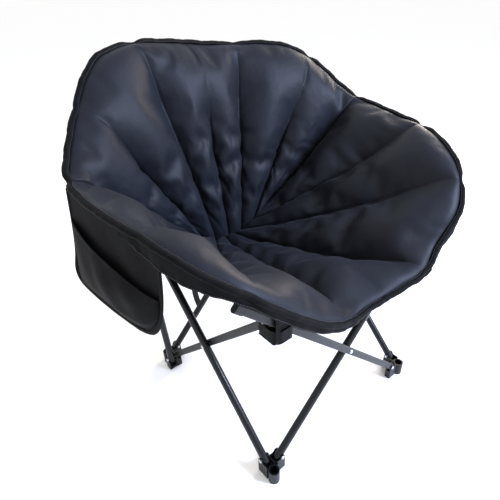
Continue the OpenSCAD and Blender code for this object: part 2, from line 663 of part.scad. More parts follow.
module joint_front_left() color(plastic_black) place() corner(1, -1, top_pin_h)
  joint_body(front_round, tube_d, oval_in, oval_t);
module rivets_joint_front_right() color(rivet_metal) place() corner(-1, -1, top_pin_h)
  foot_rivets(front_oval, oval_t, oval_in, oval_t);
module rivets_joint_front_left() color(rivet_metal) place() corner(1, -1, top_pin_h)
  foot_rivets(front_round, tube_d, oval_in, oval_t);
module slider_right() color(plastic_black) place() corner(-1, 1, top_pin_h)
  slider_body(oval_in, oval_t, round_out, tube_d);
module slider_left() color(plastic_black) place() corner(1, 1, top_pin_h)
  slider_body(round_out, tube_d, round_out, tube_d);
module rivets_slider_right() color(rivet_metal) place() corner(-1, 1, top_pin_h)
  foot_rivets(oval_in, oval_t, round_out, tube_d);
module rivets_slider_left() color(rivet_metal) place() corner(1, 1, top_pin_h)
  foot_rivets(round_out, tube_d, round_out, tube_d);
module post_right() color(tube_black) place() post_frame(-1) post_body();
module post_left() color(tube_black) place() post_frame(1) post_body();
module cap_post_right() color(plastic_black) place() post_frame(-1) post_cap();
module cap_post_left() color(plastic_black) place() post_frame(1) post_cap();
module seat_pad() color(pad_navy) place() pad(seat_seams, 8);
module back_pad() color(pad_navy) place() translate([0, edge_gap, 1.5 * edge_gap]) pad(back_seams, 9);
module rim_binding() color(edge_black) place() binding();
module band_left() color(cloth_black) place() band();
module band_right() color(cloth_black) place() mirror([1, 0, 0]) band();
module pocket_panel() color(cloth_black) place() pocket_frame() panel();
module pocket_pouch() color(cloth_black) place() pocket_frame() pouch();
module pocket_piping() color(edge_black) place() pocket_frame() piping();
module post_sleeve_right() color(cloth_black) place() post_frame(-1) sleeve();
module post_sleeve_left() color(cloth_black) place() post_frame(1) sleeve();
module webbing_right() color(edge_black) place() webbing();
module webbing_left() color(edge_black) place() mirror([1, 0, 0]) webbing();
module strap_tail() color(edge_black) place() tail();

foot_front_right();
foot_front_left();
foot_rear_right();
foot_rear_left();
rivets_foot_front_right();
rivets_foot_front_left();
rivets_foot_rear_right();
rivets_foot_rear_left();
tube_side_right();
bar_side_right();
tube_side_left();
bar_side_left();
tube_front();
bar_front();
tube_rear();
bar_rear();
cap_tube_front();
cap_bar_front();
rivet_cross_right();
rivet_cross_left();
rivet_cross_front();
rivet_cross_rear();
washer_right();
washer_left();
washer_front();
washer_rear();
joint_front_right();
joint_front_left();
rivets_joint_front_right();
rivets_joint_front_left();
slider_right();
slider_left();
rivets_slider_right();
rivets_slider_left();
post_right();
post_left();
cap_post_right();
cap_post_left();
seat_pad();
back_pad();
rim_binding();
band_right();
band_left();
pocket_panel();
pocket_pouch();
pocket_piping();
post_sleeve_right();
post_sleeve_left();
webbing_right();
webbing_left();
strap_tail();
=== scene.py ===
# %% [markdown]
# A padded folding chair with a round, bowl-shaped cover on a square base of crossed bars.
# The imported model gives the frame: every tube, bar, foot and rivet is already in place at
# its real size. This script gives those parts their finishes and makes the cover, because
# cloth needs folds and puffed tufts that a solid can only hint at.
# %% The frame
import math

import bmesh
import bpy
import numpy as np
from mathutils import Matrix, Vector
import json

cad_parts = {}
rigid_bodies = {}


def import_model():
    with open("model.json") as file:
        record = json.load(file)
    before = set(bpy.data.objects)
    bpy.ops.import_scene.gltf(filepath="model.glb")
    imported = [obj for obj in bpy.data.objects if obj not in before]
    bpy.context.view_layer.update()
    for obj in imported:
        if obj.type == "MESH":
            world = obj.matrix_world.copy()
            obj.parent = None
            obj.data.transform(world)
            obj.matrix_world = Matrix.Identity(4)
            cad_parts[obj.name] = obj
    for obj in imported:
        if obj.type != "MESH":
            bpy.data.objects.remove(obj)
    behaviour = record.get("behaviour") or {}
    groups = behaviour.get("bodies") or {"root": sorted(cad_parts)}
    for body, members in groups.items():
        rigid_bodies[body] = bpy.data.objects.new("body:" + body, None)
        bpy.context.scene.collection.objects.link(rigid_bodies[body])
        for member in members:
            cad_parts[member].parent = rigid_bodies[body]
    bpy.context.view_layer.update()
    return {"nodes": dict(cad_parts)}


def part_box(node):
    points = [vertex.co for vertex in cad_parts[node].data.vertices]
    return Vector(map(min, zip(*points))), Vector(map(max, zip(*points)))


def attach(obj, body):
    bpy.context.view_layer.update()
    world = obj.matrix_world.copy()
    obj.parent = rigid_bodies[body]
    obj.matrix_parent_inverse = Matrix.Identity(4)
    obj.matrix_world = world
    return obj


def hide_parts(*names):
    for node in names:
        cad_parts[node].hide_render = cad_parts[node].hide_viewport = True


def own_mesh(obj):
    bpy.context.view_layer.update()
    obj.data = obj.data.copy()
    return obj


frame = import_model()
scene = bpy.context.scene

# %% [markdown]
# The camera stands close to the chair, in front of its right arm, and looks down on it. Its
# place was solved from the straight tubes and the square base, so a point of the base falls
# on the same pixel as in the photograph. A close camera with a wide lens is what makes the
# front foot look so large.
# %% The camera
SHIFT = np.array([0.008725, -0.0125, 0.0])      # the base's centre in the frame's axes


def look(azimuth, elevation, roll):
    """Camera axes: right lies level, up is square to it, and roll turns both about the view."""
    a, e, r = (math.radians(v) for v in (azimuth, elevation, roll))
    ahead = np.array([-math.sin(a) * math.cos(e), math.cos(a) * math.cos(e), -math.sin(e)])
    right = np.array([math.cos(a), math.sin(a), 0.0])
    up = np.cross(right, ahead)
    right, up = right * math.cos(r) + up * math.sin(r), up * math.cos(r) - right * math.sin(r)
    return right, up, ahead


right, up, ahead = look(-38.06, 32.95, -2.52)
lens = bpy.data.cameras.new("photo_camera")
lens.sensor_width = 36.0
lens.lens = 36.0 * 414.1 / 500.0
camera = bpy.data.objects.new("photo_camera", lens)
eye = np.array([-0.5961, -0.6396, 0.9885]) + SHIFT
camera.matrix_world = Matrix(np.column_stack([right, up, -ahead, eye]).tolist()
                             + [[0, 0, 0, 1]])
scene.collection.objects.link(camera)
scene.camera = camera
print("lens %.1f mm" % lens.lens)

# %% [markdown]
# A finish starts as a list of small decisions: a colour, how rough the surface is, how much
# light glances off its fibres. Three small helpers keep those decisions readable. One turns
# a hex colour into the linear values that a renderer adds up, one adds a node with its
# settings and links in one line, and one starts a material from its base numbers.
# %% Helpers for finishes


def linear(hexa):
    """sRGB hex to linear: c/12.92 near black, else ((c + 0.055) / 1.055) to the power 2.4."""
    c = np.array([int(hexa[i:i + 2], 16) for i in (1, 3, 5)]) / 255
    c = np.where(c <= 0.04045, c / 12.92, ((c + 0.055) / 1.055) ** 2.4)
    return (*c, 1.0)


def node(tree, kind, settings=(), **inputs):
    """Adds a node, sets its properties, and fills or links its inputs by name or number."""
    n = tree.nodes.new(kind)
    for key, value in dict(settings).items():
        setattr(n, key, value)
    for key, value in inputs.items():
        socket = n.inputs[int(key[1:])] if key[0] == "i" and key[1:].isdigit() else n.inputs[
            key.replace("_", " ")]
        if isinstance(value, bpy.types.NodeSocket):
            tree.links.new(value, socket)
        else:
            socket.default_value = value
    return n


def finish(name, colour, roughness, metallic=0.0, ior=1.5, sheen=0.0, coat=0.0, glance=0.5):
    """A material with one shader; returns (material, tree, shader)."""
    m = bpy.data.materials.new(name)
    m.use_nodes = True
    t = m.node_tree
    s = t.nodes["Principled BSDF"]
    s.inputs["Base Color"].default_value = linear(colour)
    s.inputs["Roughness"].default_value = roughness
    s.inputs["Metallic"].default_value = metallic
    s.inputs["IOR"].default_value = ior
    s.inputs["Specular IOR Level"].default_value = glance
    s.inputs["Sheen Weight"].default_value = sheen
    s.inputs["Sheen Roughness"].default_value = 0.4
    s.inputs["Coat Weight"].default_value = coat
    s.inputs["Coat Roughness"].default_value = 0.15
    m.diffuse_color = linear(colour)
    return m, t, s


def mottled(t, s, colour, dark, vector, scale):
    """Blends the colour with a darker one by soft noise, as dye and handling do."""
    n = node(t, "ShaderNodeTexNoise", Vector=vector, Scale=scale, Detail=3.0)
    r = node(t, "ShaderNodeMapRange", i0=n.outputs["Fac"], i1=0.35, i2=0.65)
    mix = node(t, "ShaderNodeMix", {"data_type": "RGBA"}, i0=r.outputs[0],
               i6=linear(dark), i7=linear(colour))
    t.links.new(mix.outputs[2], s.inputs["Base Color"])


def place_of(t):
    """Coordinates in metres that stay with the piece."""
    return node(t, "ShaderNodeTexCoord").outputs["Object"]


# %% [markdown]
# Woven polyester is two sets of threads that pass over and under each other. Two wave
# patterns at a right angle, one the threads' width apart, give that relief when they feed a
# bump node. The real threads are 0.6 mm apart, finer than a pixel here, so they are drawn
# 1.4 mm apart. The threads follow the cloth, so the pattern reads the cloth's own
# coordinates in metres, and a coarser noise in space adds the small creases of handling.
# %% Cloth finishes
BANDS_AT_ONE = 3.183         # bands per metre of a Wave texture whose scale is 1
THREAD_GAP = 0.0014


def cloth_map(t):
    """The cloth's own map: metres across and along it."""
    return node(t, "ShaderNodeUVMap", {"uv_map": "cloth"}).outputs[0]


def bands_of(t, way, own, gap):
    """Bands gap metres apart, counted along X or Y of the cloth's own map."""
    return node(t, "ShaderNodeTexWave", {"bands_direction": way}, Vector=own,
                Scale=1 / gap / BANDS_AT_ONE)


def woven(name, colour, dark, roughness, sheen, glance):
    """glance is how much light the threads throw back at a slant: cloth hides part of it in
    the gaps between them, so it is less than the 0.5 of a smooth plastic."""
    m, t, s = finish(name, colour, roughness, sheen=sheen, glance=glance)
    own, place = cloth_map(t), place_of(t)
    mottled(t, s, colour, dark, place, 9.0)
    warp, weft = bands_of(t, "X", own, THREAD_GAP), bands_of(t, "Y", own, THREAD_GAP)
    both = node(t, "ShaderNodeMath", {"operation": "MULTIPLY"}, i0=warp.outputs["Fac"],
                i1=weft.outputs["Fac"])
    soft = node(t, "ShaderNodeTexNoise", Vector=place, Scale=38.0, Detail=4.0,
                Roughness=0.55)
    creases = node(t, "ShaderNodeBump", Strength=0.25, Distance=0.004,
                   Height=soft.outputs["Fac"])
    weave = node(t, "ShaderNodeBump", Strength=0.12, Distance=0.0004,
                 Height=both.outputs[0], Normal=creases.outputs[0])
    t.links.new(weave.outputs[0], s.inputs["Normal"])
    return m


def ribbed(name, colour, roughness, rib, relief):
    """Tape or webbing: ribs rib metres apart, counted along the cloth's own map."""
    m, t, s = finish(name, colour, roughness, glance=0.08)
    own = cloth_map(t)
    b = node(t, "ShaderNodeBump", Strength=relief, Distance=0.0006,
             Height=bands_of(t, "Y", own, rib).outputs["Fac"])
    t.links.new(b.outputs[0], s.inputs["Normal"])
    mottled(t, s, colour, "#0c0d0f", own, 60.0)
    return m


# the pads' cloth has a satin face, which throws more light back than the plain one below
PAD = woven("satin_600D_polyester", "#181b23", "#14161d", roughness=0.54, sheen=0.03,
            glance=0.18)
CLOTH = woven("plain_600D_polyester", "#0c0c0f", "#09090b", roughness=0.7, sheen=0.02,
              glance=0.07)
TAPE = ribbed("polyester_binding_tape", "#070708", 0.6, rib=0.0018, relief=0.6)
STRAP = ribbed("polypropylene_webbing", "#0a0a0b", 0.55, rib=0.0022, relief=0.9)

# %% [markdown]
# Most pieces here are sheets: a grid of points, each a function of two numbers, with a quad
# between every four neighbours. Filling the mesh from whole arrays is quick, and the same
# two numbers, measured in metres along the cloth, make its own map for the weave.
# %% Sheets and tubes from grids
made = []                    # names of the cover's pieces, in the order they are made


def quads(n, m, wrap=False, wrap_across=False):
    """Corner numbers of the quads between an n by m grid's points, as an array of fours."""
    i, j = np.meshgrid(np.arange(n if wrap else n - 1),
                       np.arange(m if wrap_across else m - 1), indexing="ij")
    i, j = i.ravel(), j.ravel()
    k, l = (i + 1) % n, (j + 1) % m
    return np.column_stack([i * m + j, k * m + j, k * m + l, i * m + l])


def piece(name, points, faces, own=None, material=None, smooth=True):
    """A mesh object from points (n, 3), quads (f, 4) and the cloth's own map (n, 2)."""
    me = bpy.data.meshes.new(name)
    points, faces = np.asarray(points, np.float32), np.asarray(faces, np.int32)
    me.vertices.add(len(points))
    me.vertices.foreach_set("co", points.ravel())
    me.loops.add(faces.size)
    me.loops.foreach_set("vertex_index", faces.ravel())
    me.polygons.add(len(faces))
    me.polygons.foreach_set("loop_start", np.arange(0, faces.size, 4, dtype=np.int32))
    me.update(calc_edges=True)
    me.polygons.foreach_set("use_smooth", np.full(len(faces), smooth))
    if own is not None:
        layer = me.uv_layers.new(name="cloth")
        layer.data.foreach_set("uv", np.asarray(own, np.float32)[faces.ravel()].ravel())
    ob = bpy.data.objects.new(name, me)
    scene.collection.objects.link(ob)
    made.append(name)
    if material:
        me.materials.append(material)
    return ob


def unit(v):
    """Each vector divided by its length."""
    return v / np.linalg.norm(v, axis=-1, keepdims=True)


def closed_sheet(name, top, low, own, material, wrap=False):
    """Two grids of the same shape joined at their edges into one closed skin.

    The skin's sides are the quads between each edge of one grid and the same edge of the
    other, so the piece has no hole."""
    n, m = top.shape[:2]
    k = n * m
    f = quads(n, m, wrap)
    i = np.arange(n if wrap else n - 1)
    ni = (i + 1) % n
    last_a, last_b = i * m + m - 1, ni * m + m - 1
    first_a, first_b = i * m, ni * m
    sides = [np.column_stack([last_a, last_b, last_b + k, last_a + k]),
             np.column_stack([first_a, first_a + k, first_b + k, first_b])]
    if not wrap:
        j = np.arange(m - 1)
        e = (n - 1) * m
        sides += [np.column_stack([j, j + 1, j + 1 + k, j + k]),
                  np.column_stack([e + j, e + j + k, e + j + 1 + k, e + j + 1])]
    # side quads must face outwards, though the first and last rows run the same way
    faces = np.vstack([f, f[:, ::-1] + k] + sides)
    pts = np.vstack([top.reshape(-1, 3), low.reshape(-1, 3)])
    uv = np.vstack([own.reshape(-1, 2)] * 2)
    return piece(name, pts, faces[:, ::-1], uv, material)


def tube(name, path, ways, sides, radius, n, material, wrap=False, shape=None):
    """A ring of n points carried along a path. radius may change along it, and shape gives
    each angle its own share of the radius, as for a flattened tape."""
    a = unit(sides - (sides * ways).sum(-1, keepdims=True) * ways)
    b = np.cross(ways, a)
    t = np.arange(n) * 2 * math.pi / n
    radius = np.broadcast_to(np.asarray(radius, float), (len(path),))
    ring = (np.cos(t)[None, :, None] * a[:, None] + np.sin(t)[None, :, None] * b[:, None]
            * (1.0 if shape is None else shape))
    pts = path[:, None] + radius[:, None, None] * ring
    length = np.concatenate([[0], np.cumsum(np.linalg.norm(np.diff(path, axis=0), axis=1))])
    own = np.stack(np.broadcast_arrays((t * radius.mean())[None, :], length[:, None]), -1)
    f = quads(len(path), n, wrap, True)[:, ::-1]
    return piece(name, pts.reshape(-1, 3), f, own.reshape(-1, 2), material)


# %% [markdown]
# The rim is one closed line in space: low at the front, level along the arms, then up and
# round the back. Twenty points down one side are enough, because a spline that passes
# through its points rounds the rest, and the other side mirrors them. Each point is a share
# of the half width, the reach and the rise, so the shape can be read apart from its size.
# %% The rim's line
HALF_WIDTH, REACH_FRONT, REACH_BACK, LOW, HIGH = 0.417, 0.324, 0.349, 0.452, 0.878
rim_share = np.array([
    [0, -1, 0], [0.149, -0.997, 0.012], [0.295, -0.991, 0.035], [0.444, -0.96, 0.106],
    [0.6, -0.901, 0.225], [0.736, -0.821, 0.343], [0.844, -0.679, 0.423],
    [0.907, -0.494, 0.476], [0.945, -0.306, 0.502], [0.983, -0.062, 0.521],
    [1, 0.172, 0.533], [0.995, 0.384, 0.559], [0.954, 0.516, 0.634], [0.882, 0.622, 0.718],
    [0.799, 0.722, 0.793], [0.683, 0.811, 0.876], [0.54, 0.888, 0.934],
    [0.338, 0.96, 0.972], [0.168, 0.989, 0.993], [0, 1, 1]])
right_side = rim_share[-2:0:-1] * [-1, 1, 1]
rim_points = np.vstack([rim_share, right_side])
rim_points = np.column_stack([
    rim_points[:, 0] * HALF_WIDTH,
    np.where(rim_points[:, 1] < 0, REACH_FRONT, REACH_BACK) * rim_points[:, 1],
    LOW + rim_points[:, 2] * (HIGH - LOW)]) + SHIFT
COUNT = len(rim_points)                     # 38 steps round; 0 is the front, 19 the back
HUB = np.array([0.0, 0.214, 0.363]) + SHIFT
# the edge is only as stiff as its filling: each point stands this many mm out or in
worn = np.array([-19, -10, -2, -7, 9, 0, -5, -2, 3, 3, 10, 14, 9, 13, 17, 10, -3, -14, -17,
                 -10, 2, 17, 22, 9, -3, -8, -8, 0, 0, 0, 0, 0, 0, 0, -2, -4, -8, -18]) * 0.001
away = rim_points - HUB
rim_points = rim_points + away / np.linalg.norm(away, axis=1)[:, None] * worn[:, None]


def rim(u):
    """Catmull-Rom spline: each stretch is a cubic that leaves along the line between its
    neighbours, so the curve is smooth through every point."""
    u = np.asarray(u, float)
    i = np.floor(u).astype(int)
    t = (u - i)[..., None]
    a, b, c, d = (rim_points[(i + k) % COUNT] for k in (-1, 0, 1, 2))
    return 0.5 * (2 * b + (c - a) * t + (2 * a - 5 * b + 4 * c - d) * t ** 2
                  + (3 * b - a - 3 * c + d) * t ** 3)


def rim_way(u):
    """Direction along the rim, from two points a tenth of a step either side."""
    return unit(rim(np.asarray(u) + 0.1) - rim(np.asarray(u) - 0.1))


def root(u):
    """Where the seam at u ends low in the back. The ends lie along a shallow U, 0.24 m wide:
    the height over its middle is 2.4 times the square of the way to the side."""
    at = [-11, -8, -5, -2, 2, 5, 8, 11, 14, 17, 19, 21, 24, 27]
    x = np.interp((np.asarray(u) + 11) % COUNT - 11, at,
                  np.array([-130, -90, -55, -28, 8, 38, 75, 115, 80, 38, -8, -54, -95,
                            -130]) * 0.001)
    return HUB + np.stack([x, 0 * x, 2.4 * x * x], -1)


def lift(u):
    """The way into the bowl at u: square to the rim and to the line down to its root."""
    return unit(np.cross(rim(u) - root(u), rim_way(u)))


print("rim %.2f m round" % np.linalg.norm(
    np.diff(rim(np.linspace(0, COUNT, 400)), axis=0), axis=1).sum())

# %% [markdown]
# The cover is filled like a quilt. Seams run like the ribs of a shell from a short line low
# in the back out to the rim, seven tufts on the seat and six on the back, and the filling
# swells between them. The starting shape is a grid: one number runs round the rim, one runs
# out from the root, and the height over the shell is a half sine across each tuft, raised
# to a power that makes it full, times a profile that starts thin at the root and stays full
# almost to the edge.
# %% The pads before they are filled
# the end seams reach 0.06 of a step past each other, so that the two pads press together
SEAT_SEAMS = np.array([-11.06, -8, -5, -2, 2, 5, 8, 11.06])
BACK_SEAMS = np.array([10.94, 14, 17, 19, 21, 24, 27.06])
SEAT_STEPS, BACK_STEPS, ROWS = 26, 30, 64     # grid steps across a tuft, rows from the root
EDGE = 0.0045                 # the pad stops this far short of the rim's centre line
SEAM_HALF = 0.004             # half the pad's thickness at a seam
TUFT = 0.45                   # a tuft's usual length, for the weave's map
SAG, BULGE = 0.018, 0.014     # the seat hangs, the back stands out a little
rng = np.random.default_rng(5)


def shell(u, s):
    """Middle surface: a straight line from root to rim. At s it hangs behind that line by
    4 s (1 - s) of SAG on the seat, and stands before it by BULGE across the back."""
    hang = np.interp((u + 11) % COUNT - 11, [-11, 11, 14.5, 23.5, 27],
                     [SAG, SAG, -BULGE, -BULGE, SAG])[..., None]
    reach = rim(u) - root(u)
    far = np.linalg.norm(reach, axis=-1, keepdims=True) - EDGE
    s = s[..., None]
    return root(u) + unit(reach) * far * s - lift(u) * hang * 4 * s * (1 - s)


def swell(s):
    """How full a tuft is at s: a quarter circle off the root, a slow climb as it widens, then
    a quarter ellipse down to the rim."""
    end = np.sqrt(1 - (1 - np.clip(s / 0.07, 0, 1)) ** 2)
    climb = 0.5 + 0.5 * np.sin(np.pi / 2 * np.clip(s / 0.6, 0, 1))
    edge = np.clip((s - 0.66) / 0.34, 0, 1)
    return end * climb * np.sqrt(1 - edge ** 2 * 0.999)


def pad_grid(seams, steps, rows):
    """Values across each tuft (w, 0 to 1), out from the root (s) and round the rim (u)."""
    tufts = len(seams) - 1
    k = np.arange(tufts * steps + 1) / steps
    t = np.minimum(k.astype(int), tufts - 1)
    w = k - t
    # points gather near the seams, where the cloth turns down most
    w = w - 0.06 * np.sin(4 * np.pi * w) / 2
    u = seams[t] + (seams[t + 1] - seams[t]) * w
    s = np.linspace(0.0, 1, rows) ** 0.9 * 0.997 + 0.003
    return np.meshgrid(w, s, indexing="ij") + [np.repeat(u[:, None], rows, 1)]


def pad(seams, steps, crown, fade, flat, shift):
    """Top and underside of a pad as grids, with the strength of the pins for the filling.

    The top stands over the shell by crown times the swell, times the sine across the tuft
    to the power 0.52. fade says, for each seam, from where to where along it the stitching
    ends, and flat how far the valley is filled beyond that."""
    w, s, u = pad_grid(seams, steps, ROWS)
    mid, up = shell(u, s), lift(u)
    across = np.sin(np.pi * w) ** 0.52
    fade = np.array(fade)[np.abs(u[:, :1] - seams[None]).argmin(1)]
    seam_hold = 1 - np.clip((s - fade[:, :1]) / (fade[:, 1:] - fade[:, :1]), 0, 1)
    round_off = across + (1 - across) * (1 - seam_hold) * flat
    top = mid + up * (SEAM_HALF + crown * swell(s) * round_off)[..., None]
    low = mid - up * (SEAM_HALF + 0.006 * swell(s) * np.sin(np.pi * w) ** 0.8)[..., None]
    near = np.minimum(w, 1 - w) < 1e-6
    ends = np.zeros_like(near)
    ends[0], ends[-1] = True, True
    hold = np.where(near, seam_hold, 0.0)
    hold = np.maximum(hold, np.where((s > 0.999) | (s < 0.02) | ends, 1.0, 0.0))
    width = np.linalg.norm(rim(u[1:]) - rim(u[:-1]), axis=-1).cumsum(0)
    width = np.vstack([np.zeros((1, ROWS)), width])
    own = np.stack([width, s * TUFT], -1)
    return top + shift, low + shift, hold, own


seat = pad(SEAT_SEAMS, SEAT_STEPS, crown=0.036, fade=[(0.74, 0.92)] * 8, flat=0.6,
           shift=np.zeros(3))
# two of the back's seams run up to a nick in the edge, the others end a third below it
back_fades = [(0.74, 0.92), (0.5, 0.76), (0.74, 0.96), (0.5, 0.74), (0.74, 0.96),
              (0.6, 0.85), (0.74, 0.92)]
back = pad(BACK_SEAMS, BACK_STEPS, crown=0.038, fade=back_fades, flat=0.92,
           shift=np.array([0, 0.0005, 0.00075]))
print("seat grid", seat[0].shape, "back grid", back[0].shape)

# %% [markdown]
# The folds along each seam come from cloth that is longer than the seam it is sewn to, so
# this is a job for a cloth simulation, not for drawn lines. The cloth is given about a
# twentieth more length than its grid, the seams are pinned, and pressure stands for the
# filling. Some twenty steps let it buckle between the pins. Then the result becomes plain
# mesh.
# %% Filling the pads
PRESSURE, BEND, STEPS, SOFTEN = 3.0, 2.5, 22, 3


def filled(name, grid, hold, spare, limit):
    """Runs cloth on a grid with pinned seams and returns the grid that it settles to. spare
    is the share of length that the cloth has over, and limit the furthest move in metres."""
    n, m = grid.shape[:2]
    start = grid + rng.normal(0, 0.0004, grid.shape)
    ob = piece("filling_" + name, start.reshape(-1, 3), quads(n, m)[:, ::-1])
    group = ob.vertex_groups.new(name="hold")
    flat = hold.ravel()
    for level in np.unique(flat[flat > 0]):
        group.add(np.nonzero(flat == level)[0].tolist(), float(level), "REPLACE")
    cloth = ob.modifiers.new("filling", "CLOTH")
    c = cloth.settings
    c.quality = 6
    c.mass = 0.25
    c.tension_stiffness = c.compression_stiffness = 12
    c.shear_stiffness = 4
    c.bending_stiffness = BEND
    c.tension_damping = c.compression_damping = 8
    c.use_pressure = True
    c.uniform_pressure_force = PRESSURE
    c.shrink_min = -spare
    c.vertex_group_mass = "hold"
    c.pin_stiffness = 1.0
    c.effector_weights.gravity = 0
    cloth.point_cache.frame_start, cloth.point_cache.frame_end = 1, 24
    for f in range(1, STEPS + 1):
        scene.frame_set(f)
    settled = ob.evaluated_get(bpy.context.evaluated_depsgraph_get()).data
    out = np.empty(n * m * 3, np.float32)
    settled.vertices.foreach_get("co", out)
    move = out.reshape(n, m, 3) - grid
    size = np.linalg.norm(move, axis=-1, keepdims=True)
    move = move * np.minimum(1, limit / np.maximum(size, 1e-9))
    # some buckles are finer than the filling would allow, so the moves are averaged with
    # their neighbours, and they fade towards the root, where the tufts are tight
    for _ in range(SOFTEN):
        wide = np.pad(move, ((1, 1), (1, 1), (0, 0)), "edge")
        move = (move * 4 + wide[2:, 1:-1] + wide[:-2, 1:-1] + wide[1:-1, 2:]
                + wide[1:-1, :-2]) / 8
    rise = np.clip(np.linspace(0, 1, m) / 0.22, 0, 1)
    move = move * (rise * rise * (3 - 2 * rise))[None, :, None]
    print(name, "moved by up to %.1f mm, mean %.1f mm"
          % (size.max() * 1000, size.mean() * 1000))
    scene.frame_set(1)
    bpy.data.objects.remove(ob)
    return grid + move


seat_top, back_top = seat[0], back[0]
seat_top = filled("seat", seat[0], seat[2], spare=0.045, limit=0.02)
back_top = filled("back", back[0], back[2], spare=0.035, limit=0.018)

# %% [markdown]
# Where the needle pulled the cloth, a short crease runs off the seam into the tuft. Each
# crease is a narrow valley: a bell across it and a fade along it. Its place, slant, depth
# and length are drawn at random, three or four on either side of every seam.
# %% Creases at the seams
crease_rng = np.random.default_rng(11)
REACH = 0.4              # the longest crease, as a share of a tuft's width


def normals(grid):
    """Cross product of the steps along both ways of the grid, made one metre long."""
    return unit(np.cross(np.gradient(grid, axis=0), np.gradient(grid, axis=1)))


def creased(grid, seams, steps, last):
    """Lowers the grid along random short creases that start at the seams, the last of them
    at the share last of the way from the root to the rim."""
    n, m = grid.shape[:2]
    k = np.arange(n) / steps
    s = np.linspace(0.0, 1, m)
    down = np.zeros((n, m))
    for seam in range(len(seams)):
        for side in (-1, 1):
            for _ in range(crease_rng.integers(3, 5)):
                s0, slant = crease_rng.uniform(0.12, last), crease_rng.uniform(-0.5, 0.5)
                deep, far = crease_rng.uniform(0.002, 0.0055), crease_rng.uniform(0.12, REACH)
                off = (k - seam) * side
                on = (off >= 0) & (off < 1)
                bell = np.exp(-((s[None] - s0 - slant * off[:, None]) / 0.016) ** 2)
                down += np.where(on, deep * np.exp(-(off / far) ** 2), 0)[:, None] * bell
    up = normals(grid)
    inward = lift(seams[0] + (seams[-1] - seams[0]) * k / (len(seams) - 1))[:, None]
    up = up * np.sign((up * inward).sum(-1, keepdims=True))
    return grid - up * down[..., None]


seat_top = creased(seat_top, SEAT_SEAMS, SEAT_STEPS, last=0.8)
back_top = creased(back_top, BACK_SEAMS, BACK_STEPS, last=0.62)

# %% [markdown]
# Top and underside are joined round their edges into one closed skin, and one level of
# subdivision rounds the facets that the filling left.
# %% The two pads


def finish_pad(name, top, low, own, cad):
    """A pad's two grids as one padded piece in place of its CAD solid."""
    ob = closed_sheet(name, top, low, own, PAD)
    round_off = ob.modifiers.new("round", "SUBSURF")
    round_off.levels = round_off.render_levels = 1
    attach(ob, "front_right_foot")
    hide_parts(cad)


finish_pad("seat_cushion", seat_top, seat[1], seat[3], "seat_pad")
finish_pad("back_cushion", back_top, back[1], back[3], "back_pad")

# %% [markdown]
# The rim is bound with a narrow black tape folded over the pads' edges. A tube carried along
# the rim's line stands for the folded tape. It is drawn in a few millimetres at each seam,
# where the stitches pull, and that gives the edge its gentle scallops. Its own radius wavers
# by a few per cent, as a tape does round a curve.
# %% The binding round the rim


def edge_line(u, inward):
    """The rim's line moved towards the hub by inward metres."""
    return rim(u) + unit(HUB - rim(u)) * np.asarray(inward)[..., None]


def drawn_in(u):
    """Depth of the pull at each seam: a narrow bell for every seam, and a slow small wave."""
    seams = np.array([-11, -8, -5, -2, 2, 5, 8, 11, 14, 17, 21, 24, 27.0])
    pull = np.array([3, 6, 5, 4, 4, 6, 7, 8, 5, 5, 6, 4, 5]) * 0.001
    gap = (np.asarray(u)[..., None] - seams + COUNT / 2) % COUNT - COUNT / 2
    return (pull * np.exp(-(gap / 0.22) ** 2)).sum(-1) + 0.0007 * np.sin(np.asarray(u) * 7.3)


us = np.linspace(0, COUNT, 420, endpoint=False)
line = edge_line(us, drawn_in(us))
ways = unit(np.roll(line, -1, 0) - np.roll(line, 1, 0))
tape_radius = 0.0065 * (1 + 0.07 * np.sin(us * 21.0) * np.sin(us * 3.3 + 1))
binding = tube("rim_binding_tape", line, ways, lift(us), tape_radius, 14, TAPE, wrap=True)
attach(binding, "front_right_foot")
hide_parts("rim_binding")

# %% [markdown]
# Flat straps, hems and panels all start the same way: a sheet of points that is given a
# thickness. The direction across the cloth at each point comes from the grid itself, as the
# cross product of its two ways, so the sheet keeps one thickness however it bends.
# %% Sheets with a thickness


def cloth_sheet(name, grid, thick, own, material, cad):
    """A closed sheet: the grid moved half a thickness to each side along its normals."""
    n = normals(grid) * thick / 2
    ob = closed_sheet(name, grid - n, grid + n, own, material)
    ob.data.validate()
    round_off = ob.modifiers.new("round", "SUBSURF")
    round_off.levels = round_off.render_levels = 1
    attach(ob, "front_right_foot")
    if cad:
        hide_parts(cad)
    return ob


def measured(grid):
    """Metres along both ways of a grid, from the lengths of its middle lines."""
    a = np.linalg.norm(np.diff(grid[:, grid.shape[1] // 2], axis=0), axis=1).cumsum()
    b = np.linalg.norm(np.diff(grid[grid.shape[0] // 2], axis=0), axis=1).cumsum()
    return np.stack(np.meshgrid(np.append(0, a), np.append(0, b), indexing="ij"), -1)


def cut_area(grid):
    """Area of the sheet's middle surface: the sum of its cells' two triangles."""
    a, b, c, d = grid[:-1, :-1], grid[1:, :-1], grid[1:, 1:], grid[:-1, 1:]
    return (np.linalg.norm(np.cross(b - a, c - a), axis=-1).sum()
            + np.linalg.norm(np.cross(c - a, d - a), axis=-1).sum()) / 2


# %% [markdown]
# Under each arm's edge hangs a band of plain cloth, sewn on with the binding and hemmed
# below. It is a strip whose top follows the rim: deepest beside the pocket, shallow along
# the arm, and almost nothing at the front. A slow wave, stronger towards the hem, keeps it
# from looking like card.
# %% The bands under the arms
BAND_FRONT, BAND_LENGTH = 1.2, 7.4           # in steps round the rim
band_depth = np.array([[1.2, 2], [2, 7], [2.7, 12], [3.3, 17], [4.2, 17], [4.9, 15], [5.4, 16],
                       [5.9, 24], [6.6, 38], [7.3, 36], [8.6, 12]])      # place and mm


